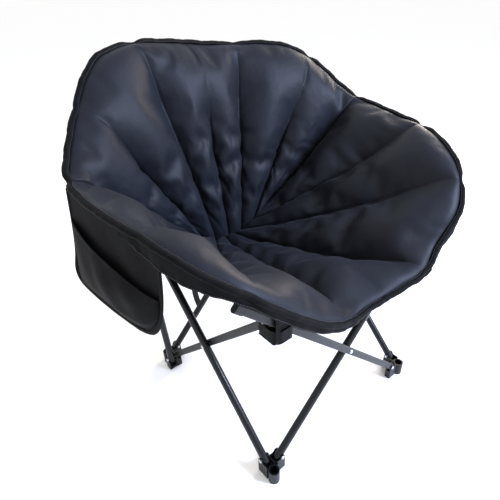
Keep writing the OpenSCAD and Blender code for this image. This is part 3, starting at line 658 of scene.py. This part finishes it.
def band(name, side):
    """A strip t along and v down: the rim's line, less the depth there times v, moved out by
    a sine that grows with v. side is 1 for the sitter's left and -1 for the right."""
    t, v = np.meshgrid(np.linspace(0, 1, 90), np.linspace(0, 1, 9), indexing="ij")
    u = BAND_FRONT + BAND_LENGTH * t
    way = rim_way(side * u) * side
    out = unit(np.stack([way[..., 1], -way[..., 0], np.zeros_like(t)], -1)) * side
    depth = np.interp(u[:, 0], band_depth[:, 0], band_depth[:, 1] * 0.001)
    # each depth is averaged with its five neighbours on either side
    depth = np.convolve(np.pad(depth, 5, "edge"), np.full(11, 1 / 11), "valid")[:, None]
    start = 0.003 / np.sqrt(1 - way[..., 2] ** 2)
    wave = 0.0012 * v * np.sin(u * 9 + side) + 0.0007 * v * np.sin(u * 23)
    grid = edge_line(side * u, drawn_in(side * u) * (1 - v))
    grid = grid + out * (0.0031 + wave)[..., None]
    grid[..., 2] -= start + depth * v
    ob = cloth_sheet(name, grid, 0.0022, measured(grid), CLOTH, name.replace("cloth_", ""))
    long = round(float(measured(grid)[..., 0].max()) + 0.01, 3)
    print(name, "%.0f cm2" % (cut_area(grid) * 1e4))
    return grid


bands = {s: band("cloth_band_" + n, s) for s, n in ((1, "left"), (-1, "right"))}

# %% [markdown]
# The side pocket is a panel with rounded lower corners, a pouch sewn over it with a curved
# mouth, and a narrow tape round the edge. The panel comes first. Its outline is a line of
# points in shares of its length and height. A Coons patch fills it: blend the top with the
# bottom, blend the two sides, add both and take away the blend of the four corners.
# %% The side pocket's panel
LONG, TALL = 0.300, 0.205
POCKET_AT = [-0.416, 0.156, 0.6563]          # its top rear corner, under the arm's edge
CLOTH_THICK = 0.0018
outline = np.array([[0.01, 0.06], [0.015, -0.3], [0, -0.6], [-0.06, -0.82], [-0.04, -0.93],
                    [0.04, -0.985], [0.35, -1], [0.7, -0.96], [0.8, -0.93], [0.9, -0.87],
                    [0.965, -0.74], [1, -0.5], [1, -0.25], [0.985, -0.07]])


def along(points, n):
    """n points at equal steps along a line that is rounded by repeated averaging."""
    p = np.array(points, float)
    for _ in range(3):
        mid = np.repeat(p, 2, axis=0)[1:-1]
        mid[::2] = 0.75 * p[:-1] + 0.25 * p[1:]
        mid[1::2] = 0.25 * p[:-1] + 0.75 * p[1:]
        p = np.vstack([p[:1], mid, p[-1:]])
    d = np.append(0, np.linalg.norm(np.diff(p, axis=0), axis=1).cumsum())
    at = np.linspace(0, d[-1], n)
    return np.column_stack([np.interp(at, d, p[:, k]) for k in range(p.shape[1])])


def pocket_place(x, y, z):
    """From the pocket's own axes (back to front, up, inwards) to the chair's: turned by 6.8
    degrees about its length, by 6.6 about the upright, and moved to the arm's edge."""
    a, b = math.radians(6.8), math.radians(6.6)
    p = np.stack(np.broadcast_arrays(z, -x, y), -1)
    p = p @ np.array([[math.cos(a), 0, math.sin(a)], [0, 1, 0],
                      [-math.sin(a), 0, math.cos(a)]]).T
    p = p @ np.array([[math.cos(b), -math.sin(b), 0], [math.sin(b), math.cos(b), 0],
                      [0, 0, 1]]).T
    return p + POCKET_AT + SHIFT


def patch(n, m):
    """The outline filled as a grid, in shares: i from rear to front, j from top to bottom."""
    i, j = np.meshgrid(np.linspace(0, 1, n), np.linspace(0, 1, m), indexing="ij")
    top = along(np.array([[0.01, 0.06], [0.12, 0.035], [0.4, 0], [0.985, -0.02]]), n)
    low = along(outline[4:10], n)
    rear = along(outline[:5], m)
    fore = along(np.vstack([top[-1:], outline[:9:-1], outline[9:10]]), m)
    i, j = i[..., None], j[..., None]
    return ((1 - j) * top[:, None] + j * low[:, None] + (1 - i) * rear[None] + i * fore[None]
            - (1 - i) * (1 - j) * top[0] - i * (1 - j) * top[-1]
            - (1 - i) * j * low[0] - i * j * low[-1])


share = patch(50, 36)
ripple = 0.0012 * np.sin(share[..., 0] * 17 + share[..., 1] * 5) * np.sin(-share[..., 1] * 3.1)
grid = pocket_place(share[..., 0] * LONG, share[..., 1] * TALL, 0.00125 + ripple)
panel = cloth_sheet("cloth_pocket_panel", grid, CLOTH_THICK, measured(grid), CLOTH,
                    "pocket_panel")
print("pocket panel %.0f cm2" % (cut_area(grid) * 1e4))

# %% [markdown]
# The pouch is the same kind of sheet, but it stands away from the panel: a half sine along
# it times part of a sine up it, so it is fullest a little below its mouth. Its mouth is a
# line of heights, lower at the rear, and two slow waves pucker the cloth between.
# %% The pocket's pouch
mouth = np.array([0.24, 0.31, 0.36, 0.4, 0.43, 0.455, 0.47, 0.475])
x, v = np.meshgrid(np.linspace(0, 1, 60), np.linspace(0, 1, 34), indexing="ij")
foot = -0.952 - 0.012 * np.sin(np.pi * x) + 0.115 * x ** 3 + 0.24 * x ** 14
head = -np.interp(x, np.linspace(0, 1, 8), mouth)
y = foot + (head - foot) * v
full = np.sin(np.pi * x) ** 0.6 * np.sin(np.radians(20 + 120 * v)) * np.minimum(1, v * 6)
pucker = 0.0016 * np.sin(x * 19 + v * 4) * np.sin(np.pi * v) + 0.0012 * np.sin(x * 7 - v * 9)
bulge = -0.0015 - 0.016 * full + pucker * np.sin(np.pi * x)
grid = pocket_place((0.02 + 0.96 * x) * LONG, y * TALL, np.minimum(bulge, -0.0015))
pouch = cloth_sheet("cloth_pocket_pouch", grid, CLOTH_THICK, measured(grid), CLOTH,
                    "pocket_pouch")
print("pocket pouch %.0f cm2" % (cut_area(grid) * 1e4))
mouth_line = grid[:, -1]

# %% [markdown]
# The tape round the pocket is folded over the cut edges of panel and pouch. A folded tape is
# wider than it is thick, so the ring that is carried along the outline is squeezed to half
# its height across the cloth. The pouch's mouth has a narrow rolled hem of the same kind.
# %% The pocket's edges


def open_tube(name, path, side, radius, n, shape, material):
    """A tube along an open line, closed at both ends by rings that shrink to a point."""
    p = np.vstack([path[:1]] * 2 + [path] + [path[-1:]] * 2)
    way = unit(np.gradient(path, axis=0))
    way = np.vstack([way[:1]] * 2 + [way] + [way[-1:]] * 2)
    r = np.concatenate([[0.02, 0.7], np.ones(len(path)), [0.7, 0.02]]) * radius
    beyond = np.concatenate([[-0.6, -0.4], np.zeros(len(path)), [0.4, 0.6]])[:, None]
    p = p + way * beyond * radius
    return tube(name, p, way, np.broadcast_to(side, p.shape), r, n, material, shape=shape)


edge = along(outline, 150) * [LONG, TALL]
edge_3d = pocket_place(edge[:, 0], edge[:, 1], 0.0 * edge[:, 0] + 0.0008)
across = unit(pocket_place(0.0, 0.0, 1.0) - pocket_place(0.0, 0.0, 0.0))
edge_tape = open_tube("pocket_edge_tape", edge_3d, across, 0.0024, 12, 1.9, TAPE)
hem = open_tube("pocket_mouth_hem", mouth_line, across, 0.0013, 8, 2.0, CLOTH)
for ob, cad in ((edge_tape, "pocket_piping"), (hem, None)):
    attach(ob, "front_right_foot")
    if cad:
        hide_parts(cad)

# %% [markdown]
# Ribbed webbing comes down in front of each upper joint and turns back under it. It is stiff
# for its width, so it keeps a straight run and takes its turn in a small round bend. The
# path is a line of a few points whose corner is cut again and again until it is round.
# %% The webbing at the front joints
WEB_THICK = 0.0018


def strap(name, path, half_width, cad, twist=0.0):
    """A flat strap: the path carried half_width to both sides. The side direction starts
    level, along x, and turns by twist radians towards y on the way down."""
    line = along(path, 60)
    t = np.linspace(0, 1, 60)
    side = np.column_stack([np.cos(twist * t), np.sin(twist * t), 0 * t])
    way = unit(np.gradient(line, axis=0))
    side = unit(side - (side * way).sum(1, keepdims=True) * way)
    k = np.linspace(-1, 1, 9)
    grid = line[:, None] + side[:, None] * k[None, :, None] * half_width
    whole = np.linalg.norm(np.diff(line, axis=0), axis=1).sum()
    own = np.stack(np.broadcast_arrays(k[None] * half_width,
                                       np.linspace(0, whole, 60)[:, None]), -1)
    ob = cloth_sheet(name, grid, WEB_THICK, own, STRAP, cad)
    size = measured(grid)[..., 0].max()
    print(name, "%.0f mm long" % (size * 1000))


for end in ("right", "left"):
    low, high = (np.array(c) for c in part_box("webbing_" + end))
    x = (low[0] + high[0]) / 2
    strap("webbing_strap_" + end, [
        [x, low[1] + 0.001, high[2]], [x, low[1] + 0.001, (low[2] + high[2]) / 2],
        [x, low[1] + 0.001, low[2] + 0.001], [x, (low[1] + high[1]) / 2, low[2] + 0.001],
        [x, high[1], low[2] + 0.001]], (high[0] - low[0]) / 2, "webbing_" + end)

# %% [markdown]
# The right strap's cut end goes on round the joint's outer corner. It lies on the first
# strap, so it starts a strap's thickness further out, and its last row of points is moved by
# random amounts, as a cut end frays.
# %% The cut end of the right strap
low, high = (np.array(c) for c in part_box("webbing_right"))
front, outer = low[1] - 0.0014, low[0] - 0.0014
bent = along([[high[0], front, 0], [outer, front, 0], [outer, high[1] - 0.003, 0]], 40)
tall = np.linspace(low[2] + 0.004, low[2] + 0.035, 25)
grid = bent[:, None] + tall[None, :, None] * [0, 0, 1]
grid[-1, :, 1] += np.random.default_rng(5).uniform(-0.002, 0.003, 25)
own = measured(grid)[..., ::-1]
ob = cloth_sheet("webbing_end", grid, WEB_THICK, own, STRAP, None)

# %% [markdown]
# A narrow tail of the same webbing hangs loose under the seat and turns as it hangs.
# %% The loose strap end
low, high = (np.array(c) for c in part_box("strap_tail"))
mid = (low + high) / 2
strap("loose_strap_end", [[mid[0], mid[1], high[2]], [mid[0], mid[1] - 0.001, mid[2]],
                          [mid[0] + 0.003, mid[1] + 0.004, low[2] + 0.03],
                          [mid[0] + 0.008, mid[1] + 0.002, low[2]]], 0.0095, "strap_tail", 0.5)

# %% [markdown]
# Two sleeves of plain cloth are slipped over the tops of the back posts and hold the back up.
# A sleeve is a profile turned about the post's line: straight, rounded over the post's cap,
# and a little gathered above its hem. The post leans back, so the profile's own axes lean
# with it. A flap joins each sleeve to the back of the cushion.
# %% The sleeves on the back posts
LEAN = 0.24                   # how far the post's top leans back for each metre up
SLEEVE_LONG = 0.105


def seal(ob):
    """Merges the points that lie on each other, so that a pole is one point."""
    bm = bmesh.new()
    bm.from_mesh(ob.data)
    bmesh.ops.remove_doubles(bm, verts=bm.verts, dist=1e-6)
    bmesh.ops.dissolve_degenerate(bm, dist=1e-7, edges=bm.edges)
    bm.to_mesh(ob.data)
    bm.free()


def sleeve(end):
    """Rings of points about the post's line: s runs from the top down, a round the post.
    The radius follows a sine over the cap, then stays, plus a small sine fold at the hem."""
    low, high = (np.array(c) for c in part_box("cap_post_" + end))
    lean = math.atan(LEAN)
    axis = np.array([0, math.sin(lean), math.cos(lean)])
    fore = np.array([0, -math.cos(lean), math.sin(lean)])
    r = (high[0] - low[0]) / 2
    tall = (high[2] - low[2] - 2 * r * math.sin(lean)) / math.cos(lean)
    top = (low + high) / 2 + axis * tall / 2
    s, a = np.meshgrid(np.linspace(0, 1, 40), np.linspace(0, 2 * np.pi, 48, endpoint=False),
                       indexing="ij")
    # the first quarter of s closes the top: radius by a sine, height by a cosine
    q = np.minimum(s / 0.2, 1) * np.pi / 2
    down = 0.0022 + 0.002 * (np.cos(q) - 1) - SLEEVE_LONG * np.clip((s - 0.2) / 0.8, 0, 1)
    fold = 0.0009 * np.sin(3 * a + 5 * s) * np.clip((s - 0.4) / 0.6, 0, 1)
    turn = []
    for out in (CLOTH_THICK, 0.0):
        wide = (r + 0.001 + out + fold) * np.sin(q)
        turn.append((top + axis * (down + out * np.cos(q))[..., None]
                     + np.array([1.0, 0, 0]) * (wide * np.cos(a))[..., None]
                     + fore * (wide * np.sin(a))[..., None]).swapaxes(0, 1))
    own = np.stack([a * 0.014, s * 0.11], -1).swapaxes(0, 1)
    ob = closed_sheet("post_sleeve_cloth_" + end, turn[0], turn[1], own, CLOTH, wrap=True)
    seal(ob)
    k, d = np.meshgrid(np.linspace(0.012, 0.098, 20), np.linspace(0, 1, 6), indexing="ij")
    flap = top - axis * k[..., None] + fore * (r + 0.0015 + 0.010 * d)[..., None]
    tab = cloth_sheet("post_sleeve_flap_" + end, flap, 0.002, measured(flap), CLOTH, None)
    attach(ob, end + "_post")
    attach(tab, end + "_post")
    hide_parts("post_sleeve_" + end)


for end in ("right", "left"):
    sleeve(end)

# %% [markdown]
# Sewing thread lies on the cloth in short raised dashes. Each dash is a small box with a
# raised middle, sixteen points in all, and one array holds every dash of a row. Real stitches
# on such a cover are about 4 mm long with 1 mm between them.
# %% Rows of stitches
THREAD = finish("polyester_sewing_thread", "#1b1d21", 0.5, sheen=0.3)[0]
PITCH, DASH, THICK = 0.005, 0.0038, 0.0006


def stitches(name, line, out):
    """Dashes DASH long every PITCH metres along a line, raised towards out: four square
    rings to a dash, half as wide at both ends."""
    d = np.append(0, np.linalg.norm(np.diff(line, axis=0), axis=1).cumsum())
    at = np.arange(PITCH, d[-1] - PITCH, PITCH)

    def on(values, where):
        """The values along the line, read at other lengths."""
        return np.column_stack([np.interp(where, d, values[:, k]) for k in range(3)])

    a, b = on(line, at - DASH / 2), on(line, at + DASH / 2)
    up = unit(on(np.broadcast_to(out, line.shape), at))
    side = unit(np.cross(b - a, up)) * THICK / 2
    lift_by = up * THICK / 2
    fifth = (b - a) * 0.2
    rings = [(a - lift_by, 0.5), (a + fifth + lift_by, 1), (b - fifth + lift_by, 1),
             (b - lift_by, 0.5)]
    pts = np.stack([p + sx * side * w + sz * lift_by for p, w in rings
                    for sx, sz in ((-1, -1), (1, -1), (1, 1), (-1, 1))], 1)
    f = [[4 * r + k, 4 * r + 4 + k, 4 * r + 4 + (k + 1) % 4, 4 * r + (k + 1) % 4]
         for r in range(3) for k in range(4)] + [[0, 1, 2, 3], [15, 14, 13, 12]]
    faces = (np.array(f)[None] + 16 * np.arange(len(at))[:, None, None]).reshape(-1, 4)
    ob = piece(name, pts.reshape(-1, 3), faces, None, THREAD)
    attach(ob, "front_right_foot")
    print(name, len(at), "stitches")


seam_line = line + lift(us) * 0.0066 + unit(HUB - rim(us)) * 0.001
stitches("rim_stitches", np.vstack([seam_line, seam_line[:1]]),
         np.vstack([lift(us), lift(us[:1])]))
for s, n in ((1, "left"), (-1, "right")):
    hem_line = bands[s][:, -1] * 0.88 + bands[s][:, -2] * 0.12
    away = unit(normals(bands[s])[:, -2])
    away = away * np.sign((away * (hem_line - SHIFT) * [1, 1, 0]).sum(1))[:, None]
    hem_line = hem_line + away * 0.0013 + [0, 0, 0.003]
    stitches("band_stitches_" + n, hem_line[4:-4], away[4:-4])
mouth_row = mouth_line - across * 0.0015 + [0, 0, -0.0045]
stitches("pocket_mouth_stitches", mouth_row, -across * np.ones((60, 1)))

# %% [markdown]
# Powder-coated steel tube is glossy but not a mirror: fine orange-peel scatters the
# highlight. The flat bars are coated matt. The joints are moulded nylon, which is black all
# through with a faint grain, and the rivets are bare steel with a brushed head.
# %% Finishes of the frame


def grained(name, colour, dark, roughness, coat, peel):
    """A coated or moulded surface: soft mottling 30 mm wide, and a fine noise some 2 mm wide
    that drives both the relief and the roughness, 15 per cent up and down."""
    m, t, s = finish(name, colour, roughness, coat=coat, glance=0.3)
    p = place_of(t)
    mottled(t, s, colour, dark, p, 30.0)
    n = node(t, "ShaderNodeTexNoise", Vector=p, Scale=420.0, Detail=2.0)
    b = node(t, "ShaderNodeBump", Strength=peel, Distance=0.0002, Height=n.outputs["Fac"])
    t.links.new(b.outputs[0], s.inputs["Normal"])
    rough = node(t, "ShaderNodeMapRange", i0=n.outputs["Fac"], i3=roughness * 0.85,
                 i4=roughness * 1.15)
    t.links.new(rough.outputs[0], s.inputs["Roughness"])
    return m


GLOSS_STEEL = grained("gloss_powder_coated_steel", "#0a0c10", "#07080b", roughness=0.28,
                      coat=0.1, peel=0.15)
MATT_STEEL = grained("matt_powder_coated_steel", "#232425", "#1d1e1f", roughness=0.5,
                     coat=0.0, peel=0.3)
NYLON = grained("moulded_nylon", "#08090a", "#060607", roughness=0.45, coat=0.0, peel=0.5)


def rivet_steel():
    """Bare steel: its roughness wavers between 0.2 and 0.4 by a noise about 1 mm wide."""
    m, t, s = finish("bright_steel", "#c4c6c9", 0.28, metallic=1.0)
    n = node(t, "ShaderNodeTexNoise", Vector=place_of(t), Scale=900.0, Detail=2.0)
    rough = node(t, "ShaderNodeMapRange", i0=n.outputs["Fac"], i3=0.2, i4=0.4)
    t.links.new(rough.outputs[0], s.inputs["Roughness"])
    return m


STEEL = rivet_steel()


def finish_of(name):
    """The finish that a node of the frame takes, by its name."""
    if name.startswith("rivet"):
        return STEEL
    if name.startswith("bar_"):
        return MATT_STEEL
    if name.startswith(("tube_", "post_left", "post_right")):
        return GLOSS_STEEL
    return NYLON


for name, ob in frame["nodes"].items():
    ob.data.materials.clear()
    ob.data.materials.append(finish_of(name))

# %% [markdown]
# The room is a plain pale floor under soft light from large panels, the usual way to show a
# dark object: broad highlights draw the tufts, and no hard shadow hides the legs. The key is
# a little blue, as daylight from a window is, and a warmer panel at the side lights the arm.
# %% The room


def panel_light(name, at, toward, size, power, tint="#ffffff"):
    """A round panel size metres wide that faces from at towards a point."""
    lamp = bpy.data.lights.new(name, "AREA")
    lamp.color = linear(tint)[:3]
    lamp.shape, lamp.size, lamp.energy = "DISK", size, power
    ob = bpy.data.objects.new(name, lamp)
    ob.location = at
    d = np.array(toward, float) - np.array(at, float)
    ob.rotation_mode = "QUATERNION"
    ob.rotation_quaternion = Vector(d).to_track_quat("-Z", "Y")
    scene.collection.objects.link(ob)


panel_light("key", (1.25, -1.95, 2.0), (-0.05, 0.15, 0.5), 1.0, 168, "#cddcff")
panel_light("side", (2.4, 0.7, 1.3), (-0.25, 0, 0.6), 1.0, 50, "#fff2e6")
panel_light("back_light", (0.0, 2.4, 2.4), (-0.1, 0, 0.6), 1.4, 12)
world = bpy.data.worlds.new("studio")
scene.world = world
world.use_nodes = True
world.node_tree.nodes["Background"].inputs["Color"].default_value = (1, 1, 1, 1)
world.node_tree.nodes["Background"].inputs["Strength"].default_value = 1.0
ground = np.stack(np.meshgrid([-60, 60.0], [-60, 60.0], [-0.0005], indexing="ij"), -1)
ground = ground.reshape(4, 3)
floor = piece("floor", ground, np.array([[0, 2, 3, 1]]), smooth=False,
              material=finish("pale_floor", "#fdfdfd", 0.9)[0])
scene.view_settings.view_transform = "Standard"
scene.view_settings.look = "None"

# %% [markdown]
# When the frame folds, its corners close in on the right front foot. The cover's pieces ride
# on that foot, and each of them is given its own copy of its mesh here. The two sleeves stay
# on their posts and go with them.
# %% The cover's pieces get their own meshes
cover = [bpy.data.objects[n] for n in made if n in bpy.data.objects and n != "floor"
         and not n.startswith("post_sleeve")]
for ob in cover:
    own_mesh(ob)
print("pieces that crumple:", len(cover))

# %% One more import
import json
